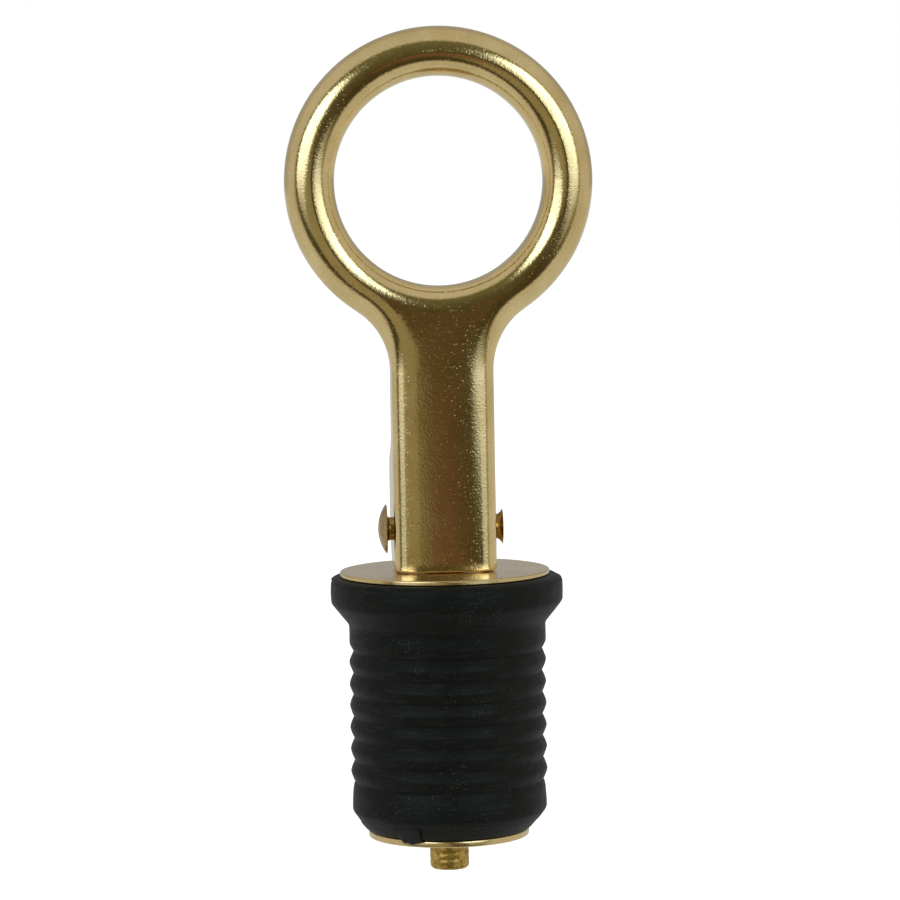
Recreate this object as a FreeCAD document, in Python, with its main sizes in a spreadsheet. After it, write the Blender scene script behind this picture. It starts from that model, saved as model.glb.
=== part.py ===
"""Snap-handle drain plug for the 1 inch drain tube of a small boat, in millimetres.

The origin is the tube seat: the point on the plug's axis where the conical seat under the flange meets the straight
land that goes into the tube. +Z points out of the tube, +X lies along the rivet, and -Y is the closed front of the
handle. The handle stands upright, so the rubber is relaxed. Folding it back by a right angle squeezes the rubber.
"""

import FreeCAD, Part
import math
import os

import Sketcher

SIZES = [
    ("tube_bore", 25.4, "bore of the drain tube"),
    ("tube_gap", 0.15, "gap between the relaxed rubber and the tube, on the radius"),
    ("flange_radius", 14.95, "rubber flange that stays outside the tube"),
    ("flange_height", 3.45, "straight side of the flange with its rounded top"),
    ("flange_round", 1.2, "rounding of the flange's top edge"),
    ("seat_height", 2.8, "conical seat under the flange"),
    ("land_length", 2.4, "plain land below the seat"),
    ("groove_count", 6, "V grooves with two flanks"),
    ("groove_pitch", 2.82, "distance from one groove to the next"),
    ("groove_width", 1.9, "width of a V groove at the surface"),
    ("groove_depth", 0.5, "depth of a V groove"),
    ("rib_round", 1.5, "rounding of the ribs between the grooves"),
    ("plug_length", 26.45, "rubber below the seat"),
    ("band_radius", 12.45, "widest place of the plain band at the rubber's foot"),
    ("foot_radius", 10.45, "bottom face of the rubber"),
    ("foot_height", 2.4, "chamfer at the rubber's foot"),
    ("rubber_break", 0.3, "small rounding of the rubber's other edges"),
    ("flash_drop", 0.7, "moulding flash that hangs below the rubber's foot"),
    ("flash_angle", 31, "place of the flash, from the front towards the left"),
    ("flash_span", 15, "angle that the flash covers"),
    ("flash_thickness", 0.45, "thickness of the flash"),
    ("flash_gap", 0.1, "gap between the flash and the bottom plate's edge"),
    ("washer_radius", 13.45, "top washer"),
    ("washer_thickness", 0.7, "top washer"),
    ("washer_break", 0.2, "rounding of the top washer's rim"),
    ("washer_gap", 0.2, "gap between the bolt and the top washer, on the radius"),
    ("bolt_radius", 2.52, "eye bolt's shank and threaded end"),
    ("bolt_gap", 0.3, "gap between the bolt and the rubber, on the radius"),
    ("stud_length", 4.35, "end of the bolt that stands out below the plate"),
    ("stud_chamfer", 0.35, "chamfer on the end of the bolt"),
    ("eye_radius", 3.5, "outside of the bolt's eye"),
    ("eye_thickness", 4.4, "flattened eye, along the rivet"),
    ("eye_neck", 0.6, "taper between the shank and the flattened eye, up and down from its edge"),
    ("eye_break", 0.5, "rounding of the eye's rims"),
    ("plate_radius", 10.34, "bottom plate"),
    ("plate_thickness", 0.95, "bottom plate"),
    ("plate_break", 0.15, "rounding of the bottom plate's rim"),
    ("hub_radius", 4.2, "threaded hub on the bottom plate"),
    ("hub_height", 3.6, "threaded hub above the plate"),
    ("hub_gap", 0.15, "gap between the hub and the rubber round it"),
    ("thread_gap", 0.05, "running gap in the thread, on the radius"),
    ("pin_radius", 1.475, "rivet's shank"),
    ("pin_gap", 0.05, "running gap round the rivet, on the radius"),
    ("head_radius", 3.12, "rivet's domed head"),
    ("head_rim", 0.15, "straight rim of the domed head"),
    ("head_rise", 0.97, "height of the dome above its rim"),
    ("head_gap", 0.8, "gap between the domed head and the left ear"),
    ("head_fillet", 0.45, "fillet under the domed head"),
    ("tail_radius", 2.3, "rim of the clinched flare"),
    ("tail_length", 1.0, "flare outside the right ear"),
    ("tail_curl", 1.3, "radius of the flare's hollow outside"),
    ("tail_edge", 0.12, "thickness of the flare's rim"),
    ("tail_inside", 2.0, "radius of the flare's inside"),
    ("tail_inset", 0.6, "where the flare's inside starts, in from the ear's face"),
    ("tail_bore", 0.95, "radius of the rivet's bore"),
    ("tail_bore_depth", 2.6, "straight part of the rivet's bore"),
    ("sheet", 1.15, "thickness of the handle's brass sheet"),
    ("ring_height", 44.4, "ring's centre above the hinge"),
    ("ring_radius", 19.6, "outside of the ring"),
    ("ring_band", 6.3, "ring, from its hole to its outside"),
    ("ring_depth", 4.2, "ring, from front to back"),
    ("neck_radius", 9.4, "hollow curve between the ring and the stem"),
    ("stem_width", 13.05, "stem and ears, side to side"),
    ("stem_depth", 6.5, "stem's side walls, from the front"),
    ("skirt_start", 16.5, "below the ring's centre, where the side walls start to get deeper"),
    ("skirt_end", 25.5, "below the ring's centre, where they have the stem's depth"),
    ("edge_round", 3.3, "rounding of the front edges round the outside of the handle"),
    ("hole_round", 2.85, "rounding of the front edge of the ring's hole"),
    ("hinge_reach", 5.0, "from the handle's front face back to the hinge"),
    ("ear_start", 11.1, "above the hinge, where the ears start to get deeper"),
    ("ear_full", 8.1, "above the hinge, where the ears have their full depth"),
    ("ear_round", 2.4, "rounding where the ears get deeper"),
    ("lip_round", 0.4, "rounding of the handle's bottom edge"),
    ("cam_low", 5.28, "hinge to the ears' bottom, with the handle upright"),
    ("cam_lift", 2.6, "how far the cam ears lift the hinge"),
    ("cam_gap", 0.12, "gap between the ears and the top washer"),
    ("margin", 1.0, "how far cutting shapes run past what they cut"),
]

# Two roundings that share a face take at most these shares of it.
ROUND_SHARE = 0.485
OUTSIDE_SHARE = 0.53
HOLE_SHARE = 0.46

document = FreeCAD.newDocument("DrainPlug")
sheet_table = document.addObject("Spreadsheet::Sheet", "Sizes")


class Size:
    """A length worked out from the sheet: its number now, and the expression that keeps it bound."""

    def __init__(self, number, text):
        self.number = number
        self.text = text

    def __add__(self, other):
        other = as_size(other)
        return Size(self.number + other.number, f"({self.text} + {other.text})")

    def __sub__(self, other):
        other = as_size(other)
        return Size(self.number - other.number, f"({self.text} - {other.text})")

    def __mul__(self, other):
        other = as_size(other)
        return Size(self.number * other.number, f"({self.text} * {other.text})")

    def __truediv__(self, other):
        other = as_size(other)
        return Size(self.number / other.number, f"({self.text} / {other.text})")

    def __neg__(self):
        return Size(-self.number, f"(-1 * {self.text})")

    def root(self):
        return Size(math.sqrt(self.number), f"sqrt({self.text})")

    def up_to(self, limit):
        return Size(min(self.number, limit.number), f"min({self.text}; {limit.text})")


def as_size(value):
    """Take a plain number as a size of its own."""
    return value if isinstance(value, Size) else Size(float(value), repr(float(value)))


def fill_sheet():
    """Write each driving dimension into its own row, and give it back by its name."""
    named = {}
    for row, (alias, value, note) in enumerate(SIZES, 1):
        sheet_table.set(f"A{row}", note)
        sheet_table.set(f"B{row}", str(value))
        sheet_table.setAlias(f"B{row}", alias)
        named[alias] = Size(value, f"Sizes.{alias}")
    document.recompute()
    return named


size = fill_sheet()
zero = as_size(0)

land_radius = size["tube_bore"] / 2 - size["tube_gap"]
flange_top = size["seat_height"] + size["flange_height"]
washer_top = flange_top + size["washer_thickness"]
hinge_height = washer_top + size["cam_gap"] + size["cam_low"]
plate_bottom = -(size["plug_length"] + size["plate_thickness"])
bolt_reach = hinge_height - plate_bottom + size["stud_length"]
stem_half = size["stem_width"] / 2
cam_high = size["cam_low"] + size["cam_lift"]
pin_hole = size["pin_radius"] + size["pin_gap"]
ring_hole = size["ring_radius"] - size["ring_band"]


def bind(feature, **values):
    """Give a feature's properties their size and the expression behind it."""
    for name, value in values.items():
        setattr(feature, name, value.number)
        feature.setExpression(name, value.text)


def new_body(name, label, height):
    """Start a sub-part whose own origin lies on the plug's axis at a height."""
    body = document.addObject("PartDesign::Body", name)
    body.Label = label
    body.Placement = FreeCAD.Placement(FreeCAD.Vector(0, 0, height.number), FreeCAD.Rotation())
    body.setExpression(".Placement.Base.z", height.text)
    return body


def new_sketch(body, role, name, offset=zero, turn=zero):
    """Lay a sketch on one of the body's own planes, moved along its normal or turned about its upright axis."""
    sketch = body.newObject("Sketcher::SketchObject", name)
    plane = next(item for item in body.Origin.OriginFeatures if item.Role == role)
    sketch.AttachmentSupport = (plane, [""])
    sketch.MapMode = "FlatFace"
    turned = FreeCAD.Rotation(FreeCAD.Vector(0, 1, 0), turn.number)
    sketch.AttachmentOffset = FreeCAD.Placement(FreeCAD.Vector(0, 0, offset.number), turned)
    sketch.setExpression(".AttachmentOffset.Base.z", offset.text)
    if turn.number:
        sketch.setExpression(".AttachmentOffset.Rotation.Angle", f"{turn.text} * 1 deg")
    return sketch


def hold(sketch, item, point, across, up):
    """Hold a sketch point at its distances from the sketch's origin."""
    for kind, distance in (("DistanceX", across), ("DistanceY", up)):
        where = Sketcher.Constraint(kind, -1, 1, item, point, distance.number)
        number = sketch.addConstraint(where)
        sketch.setExpression(f"Constraints[{number}]", distance.text)


def hold_radius(sketch, item, radius):
    """Hold the radius of a circle or an arc."""
    number = sketch.addConstraint(Sketcher.Constraint("Radius", item, radius.number))
    sketch.setExpression(f"Constraints[{number}]", radius.text)


def circle(sketch, across, up, radius):
    """Draw a full circle."""
    centre = FreeCAD.Vector(across.number, up.number, 0)
    item = sketch.addGeometry(Part.Circle(centre, FreeCAD.Vector(0, 0, 1), radius.number), False)
    hold(sketch, item, 3, across, up)
    hold_radius(sketch, item, radius)


def arc_between(start, end, radius, centre_left):
    """Make the shorter arc from start to end. Its centre lies left or right of the way."""
    half_way = (start + end) * 0.5
    chord = end - start
    side = FreeCAD.Vector(-chord.y, chord.x, 0) / chord.Length
    reach = math.sqrt(max(radius * radius - chord.Length * chord.Length / 4, 0))
    centre = half_way + side * (reach if centre_left else -reach)
    first, last = (start, end) if centre_left else (end, start)
    angles = [math.atan2(point.y - centre.y, point.x - centre.x) for point in (first, last)]
    return Part.ArcOfCircle(Part.Circle(centre, FreeCAD.Vector(0, 0, 1), radius), *angles)


def loop(sketch, corners, arcs):
    """Close a loop through corners, with straight sides apart from the arcs.

    arcs gives, by the number of the corner where it starts, an arc's radius and on which side of the way its centre
    lies. An arc in a sketch always runs anticlockwise, so one with its centre on the right starts at the far corner.
    """
    points = [FreeCAD.Vector(across.number, up.number, 0) for across, up in corners]
    sides = []
    for number, (start, end) in enumerate(zip(points, points[1:] + points[:1])):
        if number in arcs:
            radius, side = arcs[number]
            item = sketch.addGeometry(arc_between(start, end, radius.number, side == "left"), False)
            sides.append((item, 1, 2) if side == "left" else (item, 2, 1))
        else:
            item = sketch.addGeometry(Part.LineSegment(start, end), False)
            sides.append((item, 1, 2))
    for (item, _, end), (following, start, _) in zip(sides, sides[1:] + sides[:1]):
        sketch.addConstraint(Sketcher.Constraint("Coincident", item, end, following, start))
    for (item, start, _), (across, up) in zip(sides, corners):
        hold(sketch, item, start, across, up)
    for number, (radius, _) in arcs.items():
        hold_radius(sketch, sides[number][0], radius)


def pad(body, sketch, name, length, side="One side", back=False, cut=False):
    """Pad a sketch into a solid, or cut a pocket with it."""
    feature = body.newObject("PartDesign::Pocket" if cut else "PartDesign::Pad", name)
    feature.Profile = sketch
    feature.SideType = side
    feature.Reversed = back
    bind(feature, Length=length)
    return feature


def revolve(body, sketch, name, axis, cut=False, angle=None):
    """Turn a sketch about one of its own axes, or cut a groove with it."""
    feature = body.newObject("PartDesign::Groove" if cut else "PartDesign::Revolution", name)
    feature.Profile = sketch
    feature.ReferenceAxis = (sketch, [axis])
    feature.Angle = 360
    if angle:
        feature.Midplane = True
        bind(feature, Angle=angle)
    return feature


def edges_where(shape, test):
    """Name the edges whose whole length passes a test."""
    names = []
    for number, edge in enumerate(shape.Edges, 1):
        if not edge.Degenerated and all(test(point) for point in edge.discretize(7)):
            names.append(f"Edge{number}")
    return names


def round_edges(body, feature, name, radius, test):
    """Fillet the edges of the last feature that pass a test."""
    document.recompute()
    own_shape = feature.Shape
    fillet = body.newObject("PartDesign::Fillet", name)
    fillet.Base = (feature, edges_where(own_shape, test))
    bind(fillet, Radius=radius)
    return fillet


def near(value, wanted):
    return abs(value - wanted.number) < 0.001


def on_ring(radius, height):
    """Test for edges that run round the plug's axis at a radius and a height of the body."""
    return lambda point: near(math.hypot(point.x, point.y), radius) and near(point.z, height)


def make_rubber_plug():
    """Moulded rubber: flange, conical seat, land, ribs, plain band and chamfered foot, bored for the bolt."""
    body = new_body("RubberPlug", "rubber_plug", zero)
    passage = size["bolt_radius"] + size["bolt_gap"]
    socket = size["hub_radius"] + size["hub_gap"]
    bottom = -size["plug_length"]
    groove_bottom = land_radius - size["groove_depth"]
    half_groove = size["groove_width"] / 2
    first_groove = -(size["land_length"] + half_groove)
    band_top = first_groove - size["groove_pitch"] * size["groove_count"]
    foot_top = bottom + size["foot_height"]

    profile = new_sketch(body, "XZ_Plane", "RubberProfile")
    corners = [
        (passage, flange_top),
        (passage, bottom + size["hub_height"] + size["hub_gap"]),
        (socket, bottom + size["hub_height"] + size["hub_gap"]),
        (socket, bottom),
        (size["foot_radius"], bottom),
        (size["band_radius"], foot_top),
        (groove_bottom, band_top),
        (land_radius, band_top + half_groove),
        (land_radius, zero),
        (size["flange_radius"], size["seat_height"]),
        (size["flange_radius"], flange_top),
    ]
    loop(profile, corners, {})
    solid = revolve(body, profile, "RubberSolid", "V_Axis")

    groove_sketch = new_sketch(body, "XZ_Plane", "GrooveProfile")
    overhang = size["margin"] / 2
    groove_corners = [
        (groove_bottom, first_groove),
        (land_radius, first_groove + half_groove),
        (land_radius + overhang, first_groove + half_groove),
        (land_radius + overhang, first_groove - half_groove),
        (land_radius, first_groove - half_groove),
    ]
    loop(groove_sketch, groove_corners, {})
    groove = revolve(body, groove_sketch, "Groove", "V_Axis", cut=True)
    document.recompute()

    pattern = body.newObject("PartDesign::LinearPattern", "Grooves")
    pattern.Originals = [groove]
    pattern.Direction = (groove_sketch, ["V_Axis"])
    pattern.Reversed = True
    pattern.Mode = "Spacing"
    bind(pattern, Offset=size["groove_pitch"])
    pattern.Occurrences = int(size["groove_count"].number)
    pattern.setExpression("Occurrences", size["groove_count"].text)
    body.Tip = pattern

    def on_rib(point):
        on_land = near(math.hypot(point.x, point.y), land_radius)
        return on_land and point.z < -size["land_length"].number + 0.001

    crest = size["groove_pitch"] - size["groove_width"]
    widest_round = crest * ROUND_SHARE * size["groove_width"] / size["groove_depth"]
    rib_round = size["rib_round"].up_to(widest_round)
    ribs = round_edges(body, pattern, "RibRounding", rib_round, on_rib)
    top = round_edges(body, ribs, "FlangeRounding", size["flange_round"], on_ring(size["flange_radius"], flange_top))

    def on_small_edge(point):
        rings = (
            on_ring(size["flange_radius"], size["seat_height"]),
            on_ring(size["band_radius"], foot_top),
        )
        return any(ring(point) for ring in rings)

    softened = round_edges(body, top, "RubberEdges", size["rubber_break"], on_small_edge)
    document.recompute()

    quarter_turn = 90
    from_right = -(size["flash_angle"] + quarter_turn)
    flash_sketch = new_sketch(body, "XZ_Plane", "FlashProfile", turn=from_right)
    flash_inside = size["plate_radius"] + size["flash_gap"]
    flash_outside = flash_inside + size["flash_thickness"]
    flash_corners = [
        (flash_inside, bottom - size["flash_drop"]),
        (flash_outside, bottom - size["flash_drop"]),
        (flash_outside, bottom + size["flash_thickness"]),
        (flash_inside, bottom + size["flash_thickness"]),
    ]
    loop(flash_sketch, flash_corners, {})
    revolve(body, flash_sketch, "Flash", "V_Axis", angle=size["flash_span"])
    return body


def make_top_washer():
    """Flat brass washer between the handle's cams and the rubber."""
    body = new_body("TopWasher", "top_washer", flange_top)
    sketch = new_sketch(body, "XY_Plane", "WasherOutline")
    circle(sketch, zero, zero, size["washer_radius"])
    circle(sketch, zero, zero, size["bolt_radius"] + size["washer_gap"])
    disc = pad(body, sketch, "WasherDisc", size["washer_thickness"])

    def on_rim(point):
        return near(math.hypot(point.x, point.y), size["washer_radius"])

    def on_rim_edge(point):
        return on_rim(point) and (near(point.z, zero) or near(point.z, size["washer_thickness"]))

    round_edges(body, disc, "WasherRim", size["washer_break"], on_rim_edge)
    return body


def make_bottom_plate():
    """Thin round plate under the rubber, with a threaded hub that reaches up into it."""
    body = new_body("BottomPlate", "bottom_plate", plate_bottom)
    thread = size["bolt_radius"] + size["thread_gap"]
    disc_sketch = new_sketch(body, "XY_Plane", "PlateOutline")
    circle(disc_sketch, zero, zero, size["plate_radius"])
    circle(disc_sketch, zero, zero, thread)
    pad(body, disc_sketch, "PlateDisc", size["plate_thickness"])
    hub_sketch = new_sketch(body, "XY_Plane", "HubOutline")
    circle(hub_sketch, zero, zero, size["hub_radius"])
    circle(hub_sketch, zero, zero, thread)
    hub = pad(body, hub_sketch, "PlateHub", size["plate_thickness"] + size["hub_height"])

    def on_rim_edge(point):
        on_rim = near(math.hypot(point.x, point.y), size["plate_radius"])
        return on_rim and (near(point.z, zero) or near(point.z, size["plate_thickness"]))

    round_edges(body, hub, "PlateRim", size["plate_break"], on_rim_edge)
    return body


def make_eye_bolt():
    """Brass bolt with a flattened eye round the rivet. Its own origin is the eye's centre."""
    body = new_body("EyeBolt", "eye_bolt", hinge_height)
    radius = size["bolt_radius"]
    eye_half = size["eye_thickness"] / 2
    shank_sketch = new_sketch(body, "XZ_Plane", "ShankProfile")
    shank_corners = [
        (zero, -bolt_reach),
        (radius - size["stud_chamfer"], -bolt_reach),
        (radius, size["stud_chamfer"] - bolt_reach),
        (radius, -(size["eye_radius"] + size["eye_neck"])),
        (eye_half, size["eye_neck"] - size["eye_radius"]),
        (zero, size["eye_neck"] - size["eye_radius"]),
    ]
    loop(shank_sketch, shank_corners, {})
    revolve(body, shank_sketch, "Shank", "V_Axis")
    eye_sketch = new_sketch(body, "YZ_Plane", "EyeOutline")
    circle(eye_sketch, zero, zero, size["eye_radius"])
    circle(eye_sketch, zero, zero, pin_hole)
    eye = pad(body, eye_sketch, "Eye", size["eye_thickness"], side="Symmetric")

    def on_eye_rim(point):
        return near(abs(point.x), eye_half) and near(math.hypot(point.y, point.z), size["eye_radius"])

    round_edges(body, eye, "EyeRims", size["eye_break"], on_eye_rim)
    return body


def make_rivet():
    """Semi-tubular rivet along X: a domed head on the left, and a tail flared against the right ear."""
    body = new_body("Rivet", "rivet", hinge_height)
    head_face = -(stem_half + size["head_gap"])
    rim_end = head_face - size["head_rim"]
    rise = size["head_rise"]
    dome = (size["head_radius"] * size["head_radius"] + rise * rise) / (rise * 2)
    tail_end = stem_half + size["tail_length"]
    bore_start = stem_half - size["tail_inset"]
    bore_end = bore_start - size["tail_bore_depth"]
    sketch = new_sketch(body, "XZ_Plane", "RivetProfile")
    corners = [
        (rim_end - rise, zero),
        (bore_end, zero),
        (bore_end, size["tail_bore"]),
        (bore_start, size["tail_bore"]),
        (tail_end, size["tail_radius"] - size["tail_edge"]),
        (tail_end, size["tail_radius"]),
        (stem_half, size["pin_radius"]),
        (head_face, size["pin_radius"]),
        (head_face, size["head_radius"]),
        (rim_end, size["head_radius"]),
    ]
    arcs = {3: (size["tail_inside"], "left"), 5: (size["tail_curl"], "right"), 9: (dome, "left")}
    loop(sketch, corners, arcs)
    solid = revolve(body, sketch, "RivetSolid", "H_Axis")

    def under_head(point):
        return near(point.x, head_face) and near(math.hypot(point.y, point.z), size["pin_radius"])

    round_edges(body, solid, "HeadFillet", size["head_fillet"], under_head)
    return body


def handle_form(name, inset, bottom, back):
    """One skin of the stamped handle as a solid: the outline, padded back from the front, with rounded front edges.

    inset is zero for the outer skin and the sheet's thickness for the inner one, so the two stay parallel.
    """
    body = new_body(name, name, zero)
    ring = size["ring_radius"] - inset
    neck = size["neck_radius"] + inset
    half = stem_half - inset
    height = size["ring_height"]
    reach = size["ring_radius"] + size["neck_radius"]
    neck_across = stem_half + size["neck_radius"]
    neck_drop = (reach * reach - neck_across * neck_across).root()
    joint_across = neck_across * ring / reach
    joint_height = height - neck_drop * ring / reach
    neck_end = height - neck_drop

    outline = new_sketch(body, "XZ_Plane", f"{name}Outline", offset=size["hinge_reach"] - inset)
    corners = [
        (zero, height + ring),
        (-joint_across, joint_height),
        (-half, neck_end),
        (-half, bottom),
        (half, bottom),
        (half, neck_end),
        (joint_across, joint_height),
    ]
    arcs = {0: (ring, "left"), 1: (neck, "right"), 5: (neck, "right"), 6: (ring, "left")}
    loop(outline, corners, arcs)
    circle(outline, zero, height, ring_hole + inset)
    solid = pad(body, outline, f"{name}Solid", back + size["hinge_reach"] - inset, back=True)

    def on_front(point):
        return near(point.y, inset - size["hinge_reach"])

    def on_hole(point):
        return on_front(point) and near(math.hypot(point.x, point.z - height.number), ring_hole + inset)

    outside = size["edge_round"].up_to(size["ring_band"] * OUTSIDE_SHARE) - inset
    inside = size["hole_round"].up_to(size["ring_band"] * HOLE_SHARE) - inset
    document.recompute()
    hole_edges = edges_where(solid.Shape, on_hole)
    names = [name for name in edges_where(solid.Shape, on_front) if name not in hole_edges]
    lowest = [name for name in names if solid.Shape.getElement(name).BoundBox.ZMax < bottom.number + 0.001]
    fillet = body.newObject("PartDesign::Fillet", f"{name}Rounding")
    fillet.Base = (solid, [name for name in names if name not in lowest])
    bind(fillet, Radius=outside)
    return body, round_edges(body, fillet, f"{name}HoleRounding", inside, on_hole)


def make_handle():
    """Stamped brass handle: a ring of open C section, a U-shaped stem and two ears whose lower ends are cams.

    The cam is two arcs that meet at half a turn of the fold. The first is as low as the hinge allows and the second
    is larger by the lift, with their centres set off so that both run smoothly into the flats before and after.
    """
    margin = size["margin"]
    back = cam_high + margin
    below = -(size["cam_low"] + margin)
    body, rounded = handle_form("HandleOutside", zero, -size["cam_low"], back)

    def on_bottom_edge(point):
        return near(point.z, -size["cam_low"]) and point.y < back.number - 0.001

    round_edges(body, rounded, "LipRounding", size["lip_round"], on_bottom_edge)
    cam_shift = size["cam_lift"] * math.sqrt(0.5)
    diagonal = cam_high * math.sqrt(0.5)
    ring_back = size["ring_depth"] - size["hinge_reach"]
    stem_back = size["stem_depth"] - size["hinge_reach"]
    height = size["ring_height"]
    top = height + size["ring_radius"] + margin
    far = back + margin

    side_view = new_sketch(body, "YZ_Plane", "SideView")
    corners = [
        (far, top),
        (ring_back, top),
        (ring_back, height - size["skirt_start"]),
        (stem_back, height - size["skirt_end"]),
        (stem_back, size["ear_start"]),
        (cam_high, size["ear_full"]),
        (cam_high, cam_shift),
        (diagonal, cam_shift - diagonal),
        (cam_shift, -size["cam_low"]),
        (cam_shift, below),
        (far, below),
    ]
    loop(side_view, corners, {6: (cam_high, "right"), 7: (size["cam_low"], "right")})
    width = (size["ring_radius"] + margin) * 2
    trimmed = pad(body, side_view, "SideTrim", width, side="Symmetric", cut=True)

    def on_ear_corner(point):
        start = near(point.y, stem_back) and near(point.z, size["ear_start"])
        full = near(point.y, cam_high) and near(point.z, size["ear_full"])
        return start or full

    round_edges(body, trimmed, "EarRounding", size["ear_round"], on_ear_corner)
    hole = new_sketch(body, "YZ_Plane", "RivetHoles")
    circle(hole, zero, zero, pin_hole)
    pad(body, hole, "RivetHole", width, side="Symmetric", cut=True)

    hollow, _ = handle_form("HandleInside", size["sheet"], below - margin, far)
    handle = document.addObject("Part::Cut", "Handle")
    handle.Base = body
    handle.Tool = hollow
    handle.Label = "handle"
    handle.Placement = FreeCAD.Placement(FreeCAD.Vector(0, 0, hinge_height.number), FreeCAD.Rotation())
    handle.setExpression(".Placement.Base.z", hinge_height.text)
    return handle


def main():
    parts = [
        make_rubber_plug(),
        make_top_washer(),
        make_bottom_plate(),
        make_eye_bolt(),
        make_rivet(),
        make_handle(),
    ]
    document.recompute()
    for item in document.Objects:
        if "Invalid" in item.State or "Error" in item.State:
            raise RuntimeError(f"{item.Name} did not build: {item.State}")
    for part in parts:
        if part.Shape.isNull() or not part.Shape.isValid():
            raise RuntimeError(f"{part.Label} has no valid shape")
    os.makedirs("parts", exist_ok=True)
    for part in parts:
        part.Shape.exportStep(f"parts/{part.Label}.step")
        box = part.Shape.optimalBoundingBox()
        print(part.Label, len(part.Shape.Solids), round(part.Shape.Volume, 2), box)


main()
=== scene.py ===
# %% [markdown]
# This lesson dresses a drain plug for a boat: a brass handle with a ring, a brass rivet, washer, plate
# and bolt, and a ribbed rubber body. The solids come from the imported model, in metres and already in
# place, so nothing is fitted. The washer and the rivet keep their shape and get a finish. The handle is
# copied, and its stem gets the real section. The rubber, the plate and the bolt's end are made again,
# because moulded ribs, a punched edge and a cut thread are finer than the solids.

# %% Load the model
import math

import bpy
from mathutils import Matrix, Vector, kdtree


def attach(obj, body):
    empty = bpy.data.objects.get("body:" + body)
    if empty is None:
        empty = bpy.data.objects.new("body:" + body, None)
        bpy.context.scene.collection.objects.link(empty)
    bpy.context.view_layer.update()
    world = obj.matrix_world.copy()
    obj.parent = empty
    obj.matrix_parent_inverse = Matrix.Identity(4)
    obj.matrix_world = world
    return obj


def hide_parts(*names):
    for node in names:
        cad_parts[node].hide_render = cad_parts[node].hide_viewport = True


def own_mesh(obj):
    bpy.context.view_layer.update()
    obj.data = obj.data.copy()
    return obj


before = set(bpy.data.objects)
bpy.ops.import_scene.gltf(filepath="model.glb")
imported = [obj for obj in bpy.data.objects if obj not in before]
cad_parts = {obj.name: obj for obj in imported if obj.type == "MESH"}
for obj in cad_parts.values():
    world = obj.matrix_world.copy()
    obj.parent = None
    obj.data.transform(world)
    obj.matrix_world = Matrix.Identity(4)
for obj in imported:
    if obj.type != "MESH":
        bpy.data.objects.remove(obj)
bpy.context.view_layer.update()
MM = 0.001
print("pieces:", sorted(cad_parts))

# %% [markdown]
# The photograph was taken from almost straight ahead, a little from the left and a little from above,
# with a long lens: the plug's edges hardly converge. A camera can be placed by a look-at constraint or by
# its angles. Angles are used here, because they say what was measured: how far round, how far up, how far
# away, and how much it is tipped.

# %% Camera
AZIMUTH = math.radians(-3.5)
ELEVATION = math.radians(4.7)
TIP = math.radians(-1.0)
DISTANCE = 500 * MM
AIM = Vector((0.97 * MM, 0, 22.29 * MM))
FOCAL_PIXELS = 3902
IMAGE_PIXELS = 900
SENSOR = 36.0

toward_camera = Vector((
    math.sin(AZIMUTH) * math.cos(ELEVATION),
    -math.cos(AZIMUTH) * math.cos(ELEVATION),
    math.sin(ELEVATION),
))
camera_data = bpy.data.cameras.new("camera")
camera_data.sensor_width = SENSOR
camera_data.lens = FOCAL_PIXELS * SENSOR / IMAGE_PIXELS
camera_data.clip_start = 0.01
camera_data.clip_end = 20
camera = bpy.data.objects.new("camera", camera_data)
bpy.context.scene.collection.objects.link(camera)
facing = (-toward_camera).to_track_quat("-Z", "Y").to_matrix().to_4x4()
standing = Matrix.Translation(AIM + toward_camera * DISTANCE)
camera.matrix_world = standing @ facing @ Matrix.Rotation(TIP, 4, "Z")
bpy.context.scene.camera = camera
print("camera at", [round(v / MM) for v in camera.location], "mm, lens", round(camera_data.lens, 1), "mm")

# %% [markdown]
# Four helpers are used all through. Colours are written as on a paint chart, in sRGB hex, and Blender's
# sockets want linear light, so one function converts them. One adds a node, sets it up and links what
# feeds it. One makes an empty finish. The last leaves nothing selected, which comes before each new piece.

# %% Helpers
def linear(code):
    """Turn an sRGB hex colour into the linear colour that a socket wants."""
    channels = [int(code[i : i + 2], 16) / 255 for i in (1, 3, 5)]
    return tuple(c / 12.92 if c <= 0.04045 else ((c + 0.055) / 1.055) ** 2.4 for c in channels) + (1.0,)


def add(tree, kind, feeds=None, **settings):
    """Add a node. feeds gives a socket, by name or number, a value or the output that drives it."""
    node = tree.nodes.new("ShaderNode" + kind)
    for name, value in settings.items():
        setattr(node, name, value)
    for key, value in (feeds or {}).items():
        if isinstance(value, bpy.types.NodeSocket):
            tree.links.new(value, node.inputs[key])
        else:
            node.inputs[key].default_value = value
    return node


def new_finish(name):
    """Make an empty material and give back the material, its tree and the output node."""
    material = bpy.data.materials.new(name)
    material.use_nodes = True
    material.node_tree.nodes.clear()
    return material, material.node_tree, material.node_tree.nodes.new("ShaderNodeOutputMaterial")


def nothing_selected():
    """Leave object mode tidy, because an operator acts on all that is selected."""
    if bpy.context.object and bpy.context.object.mode != "OBJECT":
        bpy.ops.object.mode_set(mode="OBJECT")
    bpy.ops.object.select_all(action="DESELECT")


print("brass yellow in linear light:", [round(v, 3) for v in linear("#EED69E")[:3]])

# %% [markdown]
# Both the brass and the rubber are strewn with small round points: pits from tumbling, and dust. They
# could be drawn as thousands of small discs. A Voronoi pattern is lighter: it gives one random cell a
# point, the distance to the cell's middle draws the spot, and the cell's random colour decides whether
# the spot is there at all.

# %% Strewn points
PIT_SPACING_MM = 0.36
DUST_SPACING_MM = 0.38


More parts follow.
